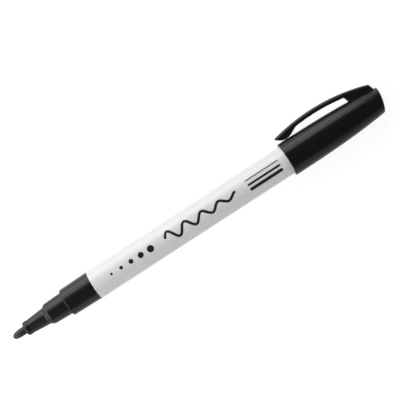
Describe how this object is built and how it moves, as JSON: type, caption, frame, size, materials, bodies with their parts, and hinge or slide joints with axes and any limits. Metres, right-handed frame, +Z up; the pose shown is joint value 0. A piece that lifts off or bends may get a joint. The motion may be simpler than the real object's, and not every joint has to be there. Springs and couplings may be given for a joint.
{
  "type": "permanent marker",
  "caption": "Valve-action paint marker: white barrel, stepped black front section, fibre bullet nib, spring valve inside, and a black cap with bowed pocket clip posted on the tail.",
  "frame": {"origin": "centre of the box's underside, with the marker lying on a table", "axes": "+X along the marker from the nib to the crown of the cap, +Y towards the clip, +Z up"},
  "size_m": [0.1494, 0.0162, 0.0122],
  "materials": {
    "barrel": "white enamel on drawn aluminium",
    "front_section": "black polypropylene, as moulded",
    "nib": "bonded acrylic fibre, wet with black paint",
    "valve_gasket": "solvent-proof rubber",
    "valve_body": "natural polypropylene",
    "valve_stem": "natural acetal",
    "valve_spring": "drawn stainless wire",
    "spring_cage": "natural polypropylene",
    "mixing_ball": "polished steel",
    "cap": "black polypropylene, as moulded",
    "inner_cap": "natural polypropylene"
  },
  "bodies": {
    "barrel": {"barrel": "barrel", "front_section": "front_section", "valve_gasket": "valve_gasket", "valve_body": "valve_body", "valve_spring": "valve_spring", "spring_cage": "spring_cage"},
    "nib": {"nib": "nib"},
    "valve_stem": {"valve_stem": "valve_stem"},
    "mixing_ball": {"mixing_ball": "mixing_ball"},
    "cap": {"cap": "cap", "inner_cap": "inner_cap"}
  },
  "joints": [
    {"name": "cap_pull", "type": "slide", "parent": "barrel", "child": "cap", "axis": [1, 0, 0], "range_m": [0, 0.03]},
    {"name": "nib_press", "type": "slide", "parent": "barrel", "child": "nib", "axis": [1, 0, 0], "range_m": [0, 0.0012], "stiffness_N_per_m": 600, "springref_m": -0.002, "deforming": ["valve_spring"]},
    {"name": "stem_lift", "type": "slide", "parent": "barrel", "child": "valve_stem", "axis": [1, 0, 0], "range_m": [0, 0.0012]},
    {"name": "ball_roll", "type": "slide", "parent": "barrel", "child": "mixing_ball", "axis": [1, 0, 0], "range_m": [-0.0524, 0.0204]}
  ],
  "couplings": [
    {"joint": "stem_lift", "follows": "nib_press", "ratio": 1}
  ]
}
